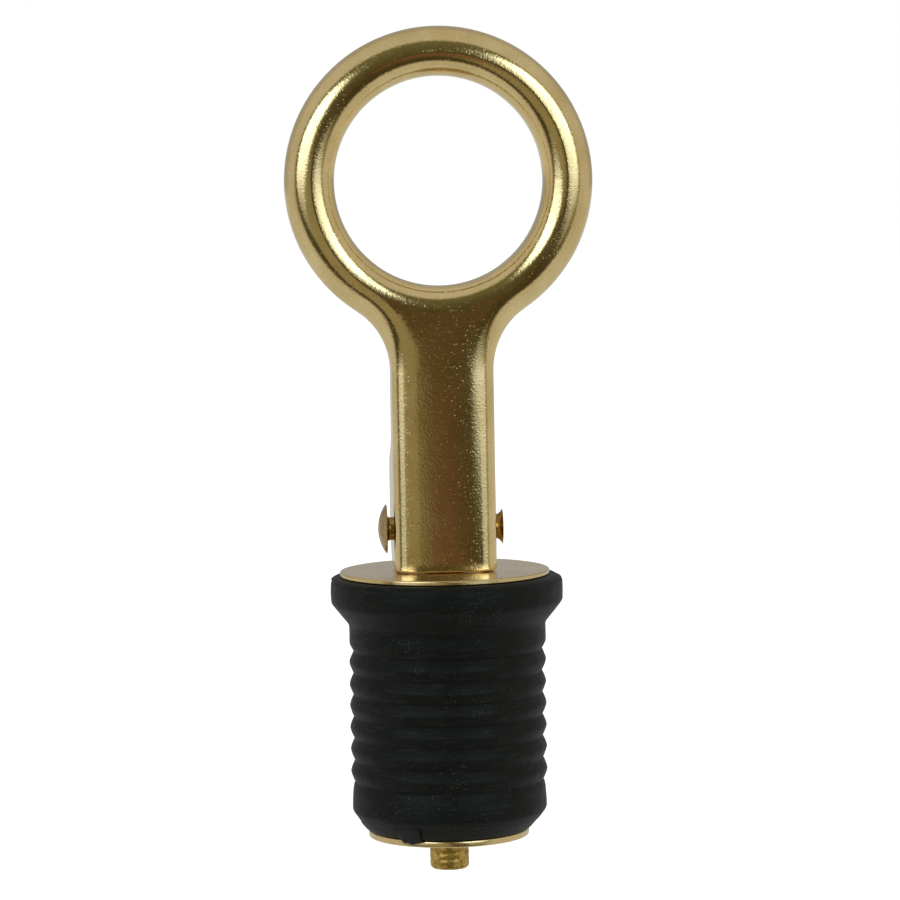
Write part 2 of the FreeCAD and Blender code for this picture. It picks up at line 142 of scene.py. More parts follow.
def strewn_points(tree, place, spacing_mm, core, rim):
    """How near a place is to its spot's middle, 1 at the core and 0 past the rim, and the spot's luck."""
    cells = add(tree, "TexVoronoi", {"Vector": place, "Scale": 1 / (spacing_mm * MM)})
    nearness = add(tree, "MapRange", {"Value": cells.outputs["Distance"], 1: core, 2: rim, 3: 1.0, 4: 0.0})
    luck = add(tree, "SeparateColor", {"Color": cells.outputs["Color"]})
    return nearness.outputs["Result"], luck.outputs["Red"]


print("one pit in", PIT_SPACING_MM, "mm at most, one speck of dust in", DUST_SPACING_MM, "mm")

# %% [markdown]
# The handle is stamped from yellow brass sheet, tumbled bright and lacquered. Stamping leaves the sheet's
# grain as a faint orange peel, and tumbling leaves pits and specks a fifth of a millimetre wide. To the
# eye that is a clear mirror with a slight haze, in which highlights break into grains at their edges. A
# clean metal shader would look like gold foil, so the colour drifts and is mottled, the roughness varies,
# and a fine bump carries grain and pits.

# %% Brass finish for the stamped pieces
MOTTLE_MM = 0.24
HAZE_MM = 0.6
PIT_SHARE = 0.4


def brass(name, light, dark, rough, grain_mm, grain_height_mm, pit_height_mm, cloud_mm=5.0):
    """Metal with two drifting tones, a grain of a real size and strewn pits. Coordinates are in metres."""
    material, tree, output = new_finish(name)
    place = add(tree, "TexCoord").outputs["Object"]
    cloud = add(tree, "TexNoise", {"Vector": place, "Scale": 1 / (cloud_mm * MM), "Detail": 3.0})
    mottle = add(tree, "TexNoise", {
        "Vector": place,
        "Scale": 1 / (MOTTLE_MM * MM),
        "Detail": 3.0,
        "Roughness": 0.7,
    })
    mottled = add(tree, "Mix", {0: 0.45, 2: cloud.outputs["Fac"], 3: mottle.outputs["Fac"]})
    drift = add(tree, "MapRange", {"Value": mottled.outputs[0], 1: 0.35, 2: 0.65, 3: 0.0, 4: 1.0})
    tones = {0: drift.outputs["Result"], 6: linear(light), 7: linear(dark)}
    tone = add(tree, "Mix", tones, data_type="RGBA")
    haze = add(tree, "TexNoise", {"Vector": place, "Scale": 1 / (HAZE_MM * MM), "Detail": 4.0})
    spread = {"Value": haze.outputs["Fac"], 1: 0.3, 2: 0.7, 3: rough * 0.8, 4: rough * 1.25}
    roughness = add(tree, "MapRange", spread)
    grain = add(tree, "TexNoise", {
        "Vector": place,
        "Scale": 1 / (grain_mm * MM),
        "Detail": 4.0,
        "Roughness": 0.6,
    })
    grain_bump = add(tree, "Bump", {
        "Strength": 1.0,
        "Distance": grain_height_mm * MM,
        "Height": grain.outputs["Fac"],
    })
    nearness, luck = strewn_points(tree, place, PIT_SPACING_MM, 0.08, 0.34)
    chosen = add(tree, "Math", {0: luck, 1: 1 - PIT_SHARE}, operation="GREATER_THAN")
    pits = add(tree, "Math", {0: nearness, 1: chosen.outputs["Value"]}, operation="MULTIPLY")
    pit_bump = add(tree, "Bump", {
        "Strength": 1.0,
        "Distance": pit_height_mm * MM,
        "Height": pits.outputs["Value"],
        "Normal": grain_bump.outputs["Normal"],
    })
    shader = add(tree, "BsdfPrincipled", {
        "Base Color": tone.outputs[2],
        "Metallic": 1.0,
        "Roughness": roughness.outputs["Result"],
        "Normal": pit_bump.outputs["Normal"],
    })
    tree.links.new(shader.outputs["BSDF"], output.inputs["Surface"])
    return material


handle_brass = brass(
    "lacquered_stamped_brass", "#EED69E", "#D6BB80",
    rough=0.1, grain_mm=0.3, grain_height_mm=0.012, pit_height_mm=0.0075,
)
washer_brass = brass(
    "tumbled_washer_brass", "#EAD29C", "#D2B67C",
    rough=0.2, grain_mm=0.22, grain_height_mm=0.0008, pit_height_mm=0.003,
)
plate_brass = brass(
    "punched_plate_brass", "#EAD29C", "#D2B67C",
    rough=0.2, grain_mm=0.22, grain_height_mm=0.0025, pit_height_mm=0.004,
)
rivet_brass = brass(
    "upset_rivet_brass", "#C9B078", "#9C7444",
    rough=0.25, grain_mm=0.2, grain_height_mm=0.003, pit_height_mm=0.002, cloud_mm=1.6,
)
for node, finish in (("top_washer", washer_brass), ("rivet", rivet_brass)):
    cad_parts[node].data.materials.clear()
    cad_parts[node].data.materials.append(finish)
    print(node, "is", finish.name)

# %% [markdown]
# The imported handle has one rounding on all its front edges. That suits the ring, which is nearly half
# round. The real stem bows a little across its whole front and then turns sharply into its sides, so its
# edge lines are thin and bright. The stem could be modelled again from nothing. Here a copy of the packed
# mesh is taken, cut lengthwise where the section bends, and its points move back or forward to the real
# section, so the outline doesn't change.

# %% The stem's real section
FRONT = -5.0
EDGE_ROUND = 3.3
SIDES_FROM = FRONT + EDGE_ROUND
FLAT_HALF = 3.225
STEM_REACH = 7.0
LIP_TOP = 7.47
STEM_TOP = 32.51
NECK_TOP = 41.0
RING_MIDDLE = 56.75
HOLE_REACH = 16.25
NECK_REACH = 16.0
SHEET = 1.15
TOP_ARCS = ((60.0, 3.08), (8.69, 15.0), (2.5, 40.0), (1.55, 90.0))
LOW_ARCS = ((60.0, 4.33), (3.0, 15.0), (2.2, 40.0), (1.7, 90.0))


def on_arcs(arcs, across):
    """How far back the surface lies at a distance from the stem's middle line, and its turn in degrees."""
    start = back = turn = 0.0
    for radius, end in arcs:
        a, b = math.radians(turn), math.radians(end)
        reach = radius * (math.sin(b) - math.sin(a))
        if across <= start + reach or end == 90:
            there = math.asin(min(1.0, math.sin(a) + (across - start) / radius))
            return back + radius * (math.cos(a) - math.cos(there)), math.degrees(there)
        start, back, turn = start + reach, back + radius * (math.cos(a) - math.cos(b)), end


def section(across, height, side=-1):
    """The section at a height. On the right, where side is above 0, it grows sharper towards the foot."""
    share = min(1.0, max(0.0, (height - LIP_TOP) / (STEM_TOP - LIP_TOP)))
    low, top = on_arcs(LOW_ARCS if side > 0 else TOP_ARCS, across), on_arcs(TOP_ARCS, across)
    return low[0] + share * (top[0] - low[0]), low[1] + share * (top[1] - low[1])


def packed_edge(turn):
    """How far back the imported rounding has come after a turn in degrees."""
    return EDGE_ROUND * (1 - math.cos(math.radians(turn)))


for across in (0, 3, 5, 6, 6.525):
    print(across, "mm out:", [round(v, 2) for v in section(across, 20.0)], "mm back and degrees")

# %% [markdown]
# The copy is a heap of loose triangles, so its doubles are merged. That forgets the smooth normals of the
# pack, so they are kept in a search tree first, by a point just inside each corner.

# %% Copy the handle and keep its normals
nothing_selected()
handle = bpy.data.objects.new("stamped_handle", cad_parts["handle"].data.copy())
bpy.context.scene.collection.objects.link(handle)
mesh = handle.data
normals = [corner.vector.copy() for corner in mesh.corner_normals]
polish = kdtree.KDTree(len(mesh.loops))
for face in mesh.polygons:
    for loop in face.loop_indices:
        corner = mesh.vertices[mesh.loops[loop].vertex_index].co
        polish.insert(corner.lerp(face.center, 0.1), loop)
polish.balance()
handle.select_set(True)
bpy.context.view_layer.objects.active = handle
bpy.ops.object.mode_set(mode="EDIT")
bpy.ops.mesh.select_mode(type="FACE")
bpy.ops.mesh.select_all(action="SELECT")
bpy.ops.mesh.remove_doubles(threshold=0.0005 * MM)
bpy.ops.object.mode_set(mode="OBJECT")
print(len(mesh.vertices), "points after the merge")

# %% [markdown]
# The front can only follow the real section where it has points. By hand the loop cut tool would add
# them, but it needs a window. A bisect with a plane does the same in code: the faces of the front are
# selected by their place and normal, then cut level up the neck and lengthwise on the stem, closest
# together where the section turns most.

# %% Cut the stem's front
NECK_CUTS = (33.41, 34.30, 35.19, 36.06, 36.91, 37.74, 38.54, 39.32, 40.06)
FLAT_CUTS = (0.4, 0.9, 1.4, 1.9, 2.4, 2.85)
ROUND_CUTS = (3.45, 3.9, 4.3, 4.7, 5.05, 5.3, 5.5, 5.7, 5.85, 6.0, 6.15, 6.27, 6.36, 6.44, 6.5)
SLACK = 0.01


def on_front(face, low, high, flat):
    """Whether a face belongs to the handle's front, or only to its flat, between two heights."""
    if face.normal.y > (-0.9999 if flat else -0.02):
        return False
    corners = [mesh.vertices[i].co / MM for i in face.vertices]
    level = all(low - SLACK < c.z < high + SLACK for c in corners)
    return level and all(c.y < SIDES_FROM + SLACK and abs(c.x) < STEM_REACH for c in corners)


def cut_front(low, high, flat, place, across):
    """Cut the front between two heights with a plane through a place, square to a direction."""
    mesh.vertices.foreach_set("select", [False] * len(mesh.vertices))
    mesh.edges.foreach_set("select", [False] * len(mesh.edges))
    mesh.polygons.foreach_set("select", [on_front(face, low, high, flat) for face in mesh.polygons])
    bpy.ops.object.mode_set(mode="EDIT")
    bpy.ops.mesh.bisect(plane_co=Vector(place) * MM, plane_no=across, threshold=0.0001 * MM)
    bpy.ops.object.mode_set(mode="OBJECT")


for height in (STEM_TOP, *NECK_CUTS):
    cut_front(0, NECK_TOP + 4, True, (0, 0, height), (0, 0, 1))
for side in (-1, 1):
    for out in FLAT_CUTS:
        cut_front(LIP_TOP, NECK_TOP + 1, True, (side * out, 0, 0), (1, 0, 0))
    for out in ROUND_CUTS:
        cut_front(LIP_TOP, STEM_TOP, False, (side * out, 0, 0), (1, 0, 0))
bpy.ops.object.mode_set(mode="EDIT")
bpy.ops.mesh.select_mode(type="VERT")
bpy.ops.object.mode_set(mode="OBJECT")
print(len(mesh.polygons), "faces after the cuts")

# %% [markdown]
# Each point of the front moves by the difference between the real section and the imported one. In the neck
# that difference has to fade out towards the ring, which is right as it is. So a height gives a share of
# the real section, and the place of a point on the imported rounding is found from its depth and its
# normal.

# %% Where the real section holds
SAME_TURN = 5.0
PAST_FRONT = 0.003


def share_at(height):
    """How much of the stem's own section holds at a height: all of it on the stem, none on the ring."""
    share = min(1.0, max(0.0, (NECK_TOP - height) / (NECK_TOP - STEM_TOP)))
    return share * share * (3 - 2 * share)


def packed_turn(place, normal):
    """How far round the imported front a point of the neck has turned, in degrees, or None off the front."""
    turn = math.degrees(math.acos(max(-1.0, min(1.0, -normal.y))))
    depth = 1 - (place.y - FRONT) / EDGE_ROUND
    if depth < -PAST_FRONT or math.hypot(place.x, place.z - RING_MIDDLE) < HOLE_REACH:
        return None
    by_place = math.degrees(math.acos(max(0.0, min(1.0, depth))))
    return turn if abs(turn - by_place) < SAME_TURN else None


def leaning(sideways, turn):
    """A normal that looks forward and leans sideways by a turn in degrees."""
    return sideways * math.sin(math.radians(turn)) + Vector((0, -math.cos(math.radians(turn)), 0))


for height in (STEM_TOP, 36.0, 40.0):
    print("share of the real section", height, "mm up:", round(share_at(height), 2))

# %% [markdown]
# Smooth shading would be worked out again from the new, narrow faces and would show their edges. So each
# corner gets its packed normal back, turned by as much as the section turns there. The lip at the foot is
# drawn down by a tenth of a millimetre at last, because the real one leaves no gap above the washer that
# light could shine through.

# %% Move the points and give the normals back
LIP_DROP = 0.1
LIP_BELOW = 7.6
LIP_BEFORE = -3.9

straight = {i for face in mesh.polygons if on_front(face, LIP_TOP, STEM_TOP, False) for i in face.vertices}
kept = [None] * len(mesh.loops)
move = {}
for face in mesh.polygons:
    for loop in face.loop_indices:
        index = mesh.loops[loop].vertex_index
        corner = mesh.vertices[index].co
        place = corner / MM
        normal = normals[polish.find(corner.lerp(face.center, 0.1))[1]]
        outward = Vector((math.copysign(1.0, place.x), 0, 0))
        if index in straight:
            back, turn = section(abs(place.x), place.z, place.x)
            move[index] = FRONT + back - place.y
            if face.normal.y < -0.02:
                normal = leaning(outward, turn)
        elif place.z < LIP_TOP:
            side, behind = max(0.0, abs(place.x) - FLAT_HALF), SIDES_FROM - place.y
            reach = math.hypot(side, behind)
            if behind > -SLACK and reach > EDGE_ROUND - SHEET:
                turn = math.degrees(math.atan2(side, behind))
                across = min(abs(place.x), FLAT_HALF) + EDGE_ROUND * math.sin(math.radians(turn))
                through = (reach - EDGE_ROUND + SHEET) / SHEET
                move[index] = through * (section(across, place.z, place.x)[0] - packed_edge(turn))
        elif share_at(place.z) > 0 and abs(place.x) < NECK_REACH:
            turn = packed_turn(place, normal)
            if turn is not None:
                across = min(abs(place.x), FLAT_HALF) + EDGE_ROUND * math.sin(math.radians(turn))
                back, real_turn = section(across, place.z, place.x)
                share = share_at(place.z)
                move[index] = share * (back - packed_edge(turn))
                if turn > 0.5:
                    outward = Vector((normal.x, 0, normal.z)).normalized()
                normal = leaning(outward, turn + share * (real_turn - turn))
        kept[loop] = normal
for index, step in move.items():
    mesh.vertices[index].co.y += step * MM
for vertex in mesh.vertices:
    if vertex.co.z < LIP_BELOW * MM and vertex.co.y < LIP_BEFORE * MM:
        vertex.co.z -= LIP_DROP * MM
mesh.normals_split_custom_set(kept)
mesh.materials.clear()
mesh.materials.append(handle_brass)
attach(handle, "lever")
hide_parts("handle")
nothing_selected()
print(handle.name, len(move), "points moved,", len(mesh.polygons), "faces")

# %% [markdown]
# The rubber is one compression moulding: a flange, a conical seat, a plain land, rounded ribs with V
# notches between them, a plain band and a chamfered foot. It could be lathed with a screw modifier from a
# drawn profile. Here it is drawn as one would on a potter's wheel: a ring of edges is added, then
# extruded and resized from point to point of the profile, which gives even quads and no pole. First the
# profile itself is worked out, in millimetres.

# %% The rubber's profile
BORE = 2.82
TOP = 6.25
LAND = 12.65
GROOVE_DEPTH = 0.54
PITCH = 2.82
FIRST_GROOVE = -3.35
FULL_GROOVES = 6
FLANK_POWER = 1.35


def arc(centre, radius, start, end, steps):
    """Points on an arc, with its angles in degrees from outwards towards up."""
    turns = [math.radians(start + (end - start) * i / steps) for i in range(steps + 1)]
    return [(centre[0] + radius * math.cos(t), centre[1] + radius * math.sin(t)) for t in turns]


def rib(top, bottom):
    """One rib between two notches: a rounded crest, almost straight flanks, and a sharp notch after it."""
    points = []
    for i in range(1, 11):
        share = i / 10
        across = abs(2 * share - 1)
        rise = GROOVE_DEPTH * (1 - across**FLANK_POWER)
        points.append((LAND - GROOVE_DEPTH + rise, top + (bottom - top) * share))
    return points


profile = [(BORE, TOP), (6.0, TOP), (9.0, TOP), (11.5, TOP), (13.2, TOP)]
profile += arc((13.88, 5.25), 1.0, 90, 0, 8)
profile += [(14.9, 4.4), (14.89, 3.7), (14.86, 3.1), (14.76, 2.84), (14.56, 2.55)]
profile += [(14.56 - 0.2125 * i, 2.55 - 0.27 * i) for i in range(1, 9)]
profile += [(12.72, 0.12), (LAND, -0.15), (LAND, -0.7), (LAND, -1.4), (LAND, -2.0)]
profile += [(12.6, -2.45), (12.4, -2.85), (LAND - GROOVE_DEPTH, FIRST_GROOVE)]
for number in range(FULL_GROOVES):
    top = FIRST_GROOVE - PITCH * number
    profile += rib(top, top - PITCH)
profile += [(12.27, -20.6), (12.38, -21.1), (12.44, -21.7), (12.48, -22.3), (12.52, -22.9), (12.53, -23.5)]
profile += [(12.52, -23.85), (12.42, -24.08), (12.2, -24.4), (11.75, -25.0), (11.25, -25.65)]
profile += [(10.85, -26.12), (10.56, -26.4), (10.35, -26.45), (8.0, -26.45), (4.35, -26.45)]
profile += [(4.35, -22.4), (BORE, -22.4), (BORE, -10.0)]
print(len(profile), "points on the rubber's profile")

# %% [markdown]
# The ring is extruded along the profile with the transform operators. Each step makes new edges in place,
# moves them down and scales them about the axis. The last ring is bridged to the first, so the body is
# closed all round its bore.

# %% Turn the rubber's body
STEPS_ROUND = 180


def turned(name, points):
    """A closed body of revolution, extruded ring by ring along points in millimetres."""
    nothing_selected()
    start = points[0]
    place = (0, 0, start[1] * MM)
    bpy.ops.mesh.primitive_circle_add(vertices=STEPS_ROUND, radius=start[0] * MM, location=place)
    piece = bpy.context.object
    piece.name = name
    bpy.ops.object.transform_apply(location=True, rotation=True, scale=True)
    bpy.ops.object.mode_set(mode="EDIT")
    bpy.ops.mesh.select_all(action="SELECT")
    for before, after in zip(points, points[1:]):
        drop = (0, 0, (after[1] - before[1]) * MM)
        bpy.ops.mesh.extrude_region_move(TRANSFORM_OT_translate={"value": drop})
        grow = after[0] / before[0]
        bpy.ops.transform.resize(value=(grow, grow, 1), center_override=(0, 0, after[1] * MM))
    bpy.ops.mesh.select_all(action="DESELECT")
    bpy.ops.mesh.select_mode(type="EDGE")
    bpy.ops.mesh.select_non_manifold()
    bpy.ops.mesh.bridge_edge_loops()
    bpy.ops.mesh.select_all(action="SELECT")
    bpy.ops.mesh.normals_make_consistent(inside=False)
    bpy.ops.object.mode_set(mode="OBJECT")
    return piece


rubber = turned("ribbed_rubber_body", profile)
print(rubber.name, len(rubber.data.polygons), "faces")

# %% [markdown]
# The bottom plate is punched from brass sheet. The punch draws its upper edge down into a soft shoulder,
# which catches a thin white line of light, and leaves its lower edge tighter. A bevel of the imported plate
# would do as well, but its rounding is already there, so the plate is turned again, in the same way as
# the rubber, with its hub.

# %% Turn the bottom plate
plate_profile = [(2.57, -22.85), (4.2, -22.85), (4.2, -26.45), (7.0, -26.45), (9.5, -26.45)]
plate_profile += arc((9.98, -26.81), 0.36, 90, 0, 10)
plate_profile += arc((10.16, -27.22), 0.18, 0, -90, 6)
plate_profile += [(7.0, -27.4), (2.57, -27.4)]
plate = turned("punched_plate", plate_profile)
nothing_selected()
plate.select_set(True)
bpy.context.view_layer.objects.active = plate
bpy.ops.object.shade_smooth_by_angle(angle=math.radians(30))
plate.data.materials.append(plate_brass)
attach(plate, "plate")
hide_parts("bottom_plate")
print(plate.name, len(plate.data.polygons), "faces")

# %% [markdown]
# At the foot the mould has let a thin tongue of rubber run over the edge of the bottom plate: the flash.
# It is a strip of the same rubber, so a small section is spun a few degrees round the axis and joined to
# the body. Its free edge is ragged and its left end runs back into the chamfer, so its low points are
# raised a little by a formula.

# %% Moulding flash
FLASH_MIDDLE = 30.5
FLASH_SPAN = 16.0
FLASH_STEPS = 16
FREE_FROM = -25.6
flash_section = [(12.0, -24.1), (12.2, -24.3), (12.02, -24.9), (11.7, -25.6), (11.4, -26.2)]
flash_section += [(11.22, -26.65), (11.0, -26.88), (10.7, -26.9), (10.5, -26.7), (10.45, -26.35)]
flash_section += [(10.6, -25.9), (11.3, -25.0)]


def spun_strip(name, section, middle, span, steps):
    """A closed section, spun about the axis. Angles go from the front towards the left."""
    nothing_selected()
    start = math.radians(-90 - middle + span / 2)
    across = Vector((math.cos(start), math.sin(start), 0))
    bpy.ops.mesh.primitive_circle_add(vertices=len(section), radius=MM, fill_type="NGON")
    strip = bpy.context.object
    strip.name = name
    for vertex, (out, up) in zip(strip.data.vertices, section):
        vertex.co = across * out * MM + Vector((0, 0, up * MM))
    bpy.ops.object.mode_set(mode="EDIT")
    bpy.ops.mesh.select_all(action="SELECT")
    bpy.ops.mesh.spin(steps=steps, angle=math.radians(span), center=(0, 0, 0), axis=(0, 0, 1))
    bpy.ops.mesh.select_all(action="SELECT")
    bpy.ops.mesh.remove_doubles(threshold=0.002 * MM)
    bpy.ops.mesh.normals_make_consistent(inside=False)
    bpy.ops.object.mode_set(mode="OBJECT")
    return strip


flash = spun_strip("moulding_flash", flash_section, FLASH_MIDDLE, FLASH_SPAN, FLASH_STEPS)
for vertex in flash.data.vertices:
    turn = math.degrees(math.atan2(-vertex.co.x, -vertex.co.y)) - FLASH_MIDDLE
    side = turn / (FLASH_SPAN / 2)
    below = max(0.0, FREE_FROM - vertex.co.z / MM)
    ragged = 0.06 * math.sin(turn * 0.9) + 0.2 * max(0.0, -side - 0.75) / 0.25
    merging = 0.75 * (max(0.0, side - 0.35) / 0.65) ** 2
    vertex.co.z += below * (ragged + merging) * MM
print(flash.name, len(flash.data.vertices), "points,", [round(v / MM, 1) for v in flash.dimensions], "mm")

# %% [markdown]
# Used rubber is never a true turning: it swells, dents and waves a little. A displace modifier with a
# soft cloud texture does this for the whole outside, and a second one with a finer cloud gives the
# surface its tooth. The bore is loose on the bolt, so the outside also sits a little to the right, and
# more so at its top.

# %% Wear of the rubber
SHIFT_AT_FOOT = 0.13
SHIFT_TO_TOP = 0.12
BODY_FOOT = -27.0
BODY_HEIGHT = 33.0
OUTSIDE_FROM = 11.3
OUTSIDE_TOP = 5.9


def worn(piece, name, size_mm, height_mm, group=""):
    """Displace a piece by a cloud of a real size, and apply it."""
    texture = bpy.data.textures.new(name, "CLOUDS")
    texture.noise_scale = size_mm * MM
    texture.noise_depth = 2
    modifier = piece.modifiers.new(name, "DISPLACE")
    modifier.texture = texture
    modifier.texture_coords = "LOCAL"
    modifier.strength = height_mm * MM
    modifier.mid_level = 0.5
    modifier.vertex_group = group
    nothing_selected()
    piece.select_set(True)
    bpy.context.view_layer.objects.active = piece
    bpy.ops.object.modifier_apply(modifier=name)


nothing_selected()
flash.select_set(True)
rubber.select_set(True)
bpy.context.view_layer.objects.active = rubber
bpy.ops.object.join()
outside = rubber.vertex_groups.new(name="outside")
visible = []
for vertex in rubber.data.vertices:
    if math.hypot(vertex.co.x, vertex.co.y) > OUTSIDE_FROM * MM and vertex.co.z < OUTSIDE_TOP * MM:
        visible.append(vertex.index)
outside.add(visible, 1.0, "REPLACE")
for index in visible:
    place = rubber.data.vertices[index].co
    place.x += (SHIFT_AT_FOOT + SHIFT_TO_TOP * (place.z / MM - BODY_FOOT) / BODY_HEIGHT) * MM
worn(rubber, "rubber_swell", 9.0, 0.16, "outside")
worn(rubber, "rubber_tooth", 1.6, 0.09, "outside")
bpy.ops.object.select_all(action="DESELECT")
rubber.select_set(True)
bpy.ops.object.shade_smooth_by_angle(angle=math.radians(50))
print(rubber.name, "now has", len(rubber.data.polygons), "faces")

# %% [markdown]
# The rubber is a black neoprene or nitrile compound with chalky dust on it. Matte black is really a very
# dark grey, almost without colour. Specks of dust sit on it in drifts, and handling leaves faint level
# scuffs. Noise stretched round the axis makes the scuffs, and strewn points make the dust. Round the flash
# the colour is painted paler, a painted highlight where the hanging tongue catches the light.

# %% Colour of the rubber
FLASH_PLACE = Vector((-5.6, -9.6, -25.9))
CLOUD_MM = 4.0
SCUFF_MM = 3.0
DRIFT_MM = 5.0
DARKEST = "#060606"
PALEST = "#0F100F"


def dust(tree, place):
    """How much dust covers a place: specks of uneven strength that lie in drifts."""
    nearness, luck = strewn_points(tree, place, DUST_SPACING_MM, 0.05, 0.36)
    strength = add(tree, "MapRange", {"Value": luck, 1: 0.5, 2: 1.0, 3: 0.0, 4: 0.85})
    drift = add(tree, "TexNoise", {"Vector": place, "Scale": 1 / (DRIFT_MM * MM), "Detail": 2.0})
    patchy = add(tree, "MapRange", {"Value": drift.outputs["Fac"], 1: 0.42, 2: 0.68, 3: 0.08, 4: 1.0})
    speck = add(tree, "Math", {0: nearness, 1: strength.outputs["Result"]}, operation="MULTIPLY")
    both = {0: speck.outputs["Value"], 1: patchy.outputs["Result"]}
    return add(tree, "Math", both, operation="MULTIPLY").outputs["Value"]


def rubber_colour(tree, place):
    """Dark grey in two tones, with level scuffs, dust and a painted highlight round the flash laid over it.
    """
    cloud = add(tree, "TexNoise", {
        "Vector": place,
        "Scale": 1 / (CLOUD_MM * MM),
        "Detail": 4.0,
        "Roughness": 0.6,
    })
    level = add(tree, "Mapping", {"Vector": place, "Scale": (1.0, 1.0, 9.0)})
    scuff = add(tree, "TexNoise", {
        "Vector": level.outputs["Vector"],
        "Scale": 1 / (SCUFF_MM * MM),
        "Detail": 5.0,
    })
    scuffed = add(tree, "MapRange", {"Value": scuff.outputs["Fac"], 1: 0.56, 2: 0.8, 3: 0.0, 4: 0.45})
    # Painted highlight: a patch round the flash is painted paler, as if the hanging tongue caught more
    # light.
    to_flash = add(tree, "VectorMath", {0: place, 1: FLASH_PLACE * MM}, operation="DISTANCE")
    fading = {"Value": to_flash.outputs["Value"], 1: 1.2 * MM, 2: 2.2 * MM, 3: 0.9, 4: 0.0}
    painted_flash_highlight = add(tree, "MapRange", fading)
    tones = {0: cloud.outputs["Fac"], 6: linear(DARKEST), 7: linear(PALEST)}
    colour = add(tree, "Mix", tones, data_type="RGBA").outputs[2]
    layers = (
        (scuffed.outputs["Result"], "#363835"),
        (dust(tree, place), "#5A5952"),
        (painted_flash_highlight.outputs["Result"], "#242423"),
    )
    for cover, code in layers:
        colour = add(tree, "Mix", {0: cover, 6: colour, 7: linear(code)}, data_type="RGBA").outputs[2]
    return colour


print("rubber from", [round(v, 4) for v in linear(DARKEST)], "to", [round(v, 4) for v in linear(PALEST)])

# %% [markdown]
# The mould was turned on a lathe, and its level marks are still to be felt on the rubber, under a fine
# tooth. Both are bumps. Rubber mirrors little, so the specular level is well under the usual half, and
# what it mirrors is tinted a hair towards green, as the sheen in the photograph is.

# %% Surface of the rubber
TOOTH_MM = 0.35
MARK_MM = 0.33


def rubber_relief(tree, place):
    """A fine tooth on top of level marks, as a normal."""
    level = add(tree, "Mapping", {"Vector": place, "Scale": (0.12, 0.12, 1.0)})
    marks = add(tree, "TexNoise", {
        "Vector": level.outputs["Vector"],
        "Scale": 1 / (MARK_MM * MM),
        "Detail": 2.0,
    })
    marked = add(tree, "Bump", {"Strength": 1.0, "Distance": 0.05 * MM, "Height": marks.outputs["Fac"]})
    tooth = add(tree, "TexNoise", {"Vector": place, "Scale": 1 / (TOOTH_MM * MM), "Detail": 4.0})
    relief = add(tree, "Bump", {
        "Strength": 1.0,
        "Distance": 0.03 * MM,
        "Height": tooth.outputs["Fac"],
        "Normal": marked.outputs["Normal"],
    })
    return relief.outputs["Normal"]


def moulded_rubber(name):
    """Dusty black rubber, as moulded."""
    material, tree, output = new_finish(name)
    place = add(tree, "TexCoord").outputs["Object"]
    shader = add(tree, "BsdfPrincipled", {
        "Base Color": rubber_colour(tree, place),
        "Roughness": 0.5,
        "Specular IOR Level": 0.17,
        "Specular Tint": (0.92, 1.0, 0.84, 1),
        "Normal": rubber_relief(tree, place),
    })
    tree.links.new(shader.outputs["BSDF"], output.inputs["Surface"])
    return material


rubber_finish = moulded_rubber("dusty_black_rubber")
rubber.data.materials.clear()
rubber.data.materials.append(rubber_finish)
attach(rubber, "plug")
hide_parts("rubber_plug")
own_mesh(rubber)
print("rubber:", rubber_finish.name)

# %% [markdown]
# The end of the eye bolt stands out below the plate. It is an M5 thread cut in yellow brass, dull, with
# brown spots where the lacquer is gone. A thread is one tooth swept along a screw line, which is what the
# screw modifier does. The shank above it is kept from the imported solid: a copy is merged, and cut off
# where the thread takes over.

# %% The thread's tooth
THREAD_TOP = -27.2
BOLT_END = -31.75
THREAD_PITCH = 0.8
CREST = 2.52
ROOT = 2.485
tooth = [(ROOT, 0.0), (ROOT, 0.1), (CREST, 0.25), (CREST, 0.55), (ROOT, 0.7), (ROOT, THREAD_PITCH)]


def cut_level(piece, height_mm, keep_above, fill):
    """Bisect a piece at a height and remove what is above or below it."""
    nothing_selected()
    piece.select_set(True)
    bpy.context.view_layer.objects.active = piece
    bpy.ops.object.mode_set(mode="EDIT")
    bpy.ops.mesh.select_all(action="SELECT")
    bpy.ops.mesh.bisect(
        plane_co=(0, 0, height_mm * MM),
        plane_no=(0, 0, 1),
        threshold=0.0001 * MM,
        use_fill=fill,
        clear_inner=keep_above,
        clear_outer=not keep_above,
    )
    bpy.ops.object.mode_set(mode="OBJECT")


print("tooth", round(CREST - ROOT, 3), "mm high, one every", THREAD_PITCH, "mm")

# %% [markdown]
# The tooth is an open line of edges. The screw modifier sweeps it round and up at once, and merges each
# turn with the next, because the tooth is just as tall as one turn rises. Its ends are open, so they are
# cut level and filled.

# %% Sweep the thread
TURNS = 9

nothing_selected()
bpy.ops.mesh.primitive_circle_add(vertices=len(tooth), radius=MM)
thread = bpy.context.object
thread.name = "bolt_thread"
bpy.ops.object.mode_set(mode="EDIT")
bpy.ops.mesh.select_mode(type="EDGE")
bpy.ops.mesh.select_all(action="DESELECT")
bpy.ops.object.mode_set(mode="OBJECT")
for vertex, (out, up) in zip(thread.data.vertices, tooth):
    vertex.co = Vector((out * MM, 0, (BOLT_END - 2 * THREAD_PITCH + up) * MM))
closing = next(e for e in thread.data.edges if set(e.vertices) == {0, len(tooth) - 1})
closing.select = True
bpy.ops.object.mode_set(mode="EDIT")
bpy.ops.mesh.delete(type="EDGE")
bpy.ops.object.mode_set(mode="OBJECT")
screw = thread.modifiers.new("screw_line", "SCREW")
screw.angle = 2 * math.pi
screw.screw_offset = THREAD_PITCH * MM
screw.iterations = TURNS
screw.steps = 72
screw.render_steps = 72
screw.use_merge_vertices = True
screw.merge_threshold = 0.001 * MM
bpy.context.view_layer.objects.active = thread
thread.select_set(True)
bpy.ops.object.modifier_apply(modifier="screw_line")
cut_level(thread, BOLT_END, True, True)
cut_level(thread, THREAD_TOP, False, True)
print(thread.name, [round(v / MM, 2) for v in thread.dimensions])

